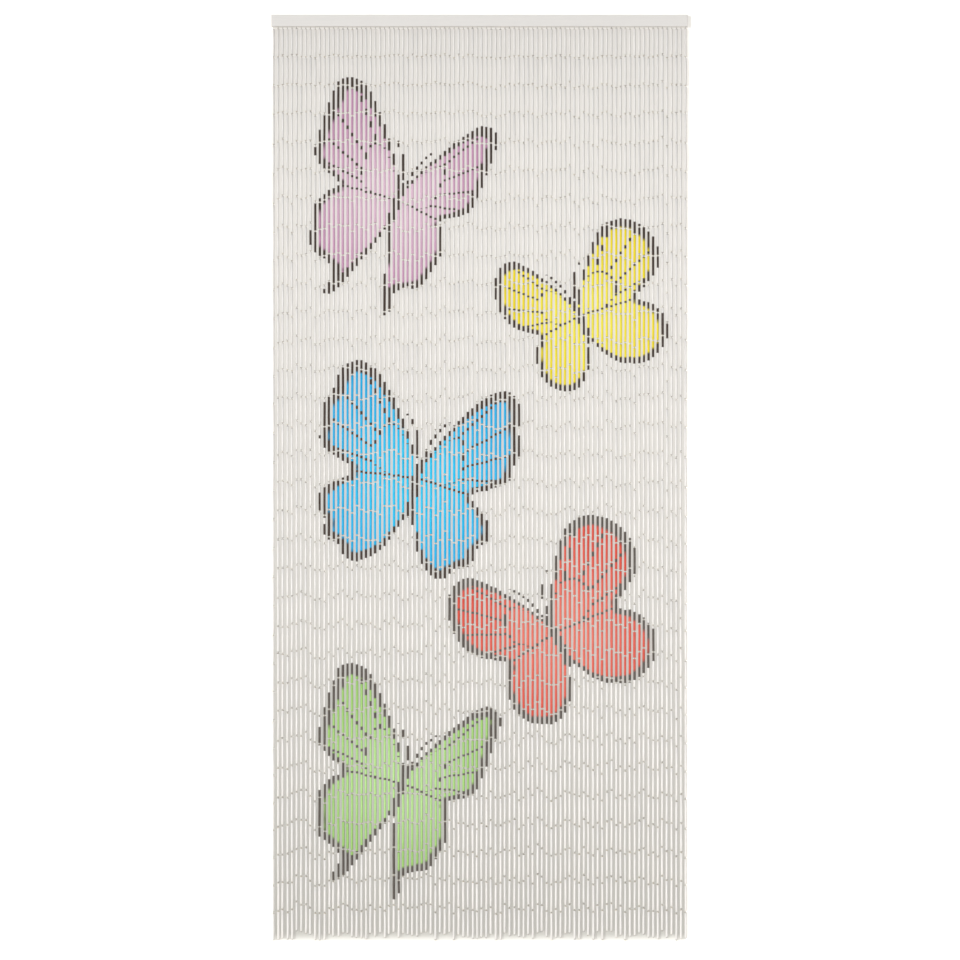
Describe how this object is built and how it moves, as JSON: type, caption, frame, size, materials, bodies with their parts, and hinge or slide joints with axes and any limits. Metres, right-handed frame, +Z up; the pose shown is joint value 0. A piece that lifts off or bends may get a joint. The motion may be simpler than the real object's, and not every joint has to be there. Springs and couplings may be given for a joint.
{
  "type": "bamboo door curtain with header rail",
  "caption": "String door curtain: straight strands of short bamboo tubes hanging side by side from a slim painted wooden header rail.",
  "frame": {"origin": "middle of the header rail's back face, where the rail is fixed to the wall or lintel over a doorway", "axes": "+Z up along the strands, -Y the printed front, +Y out of the rail's back face towards the wall, +X to the right as seen from the front"},
  "size_m": [0.9, 0.014, 2],
  "materials": {
    "rail_paint": "ivory satin paint on planed softwood",
    "bamboo": "bleached and painted bamboo, printed with a coloured design",
    "link_wire": "thin galvanised wire links between the tubes"
  },
  "bodies": {
    "root": {"header_rail": "rail_paint", "strands": "bamboo"}
  },
  "joints": []
}
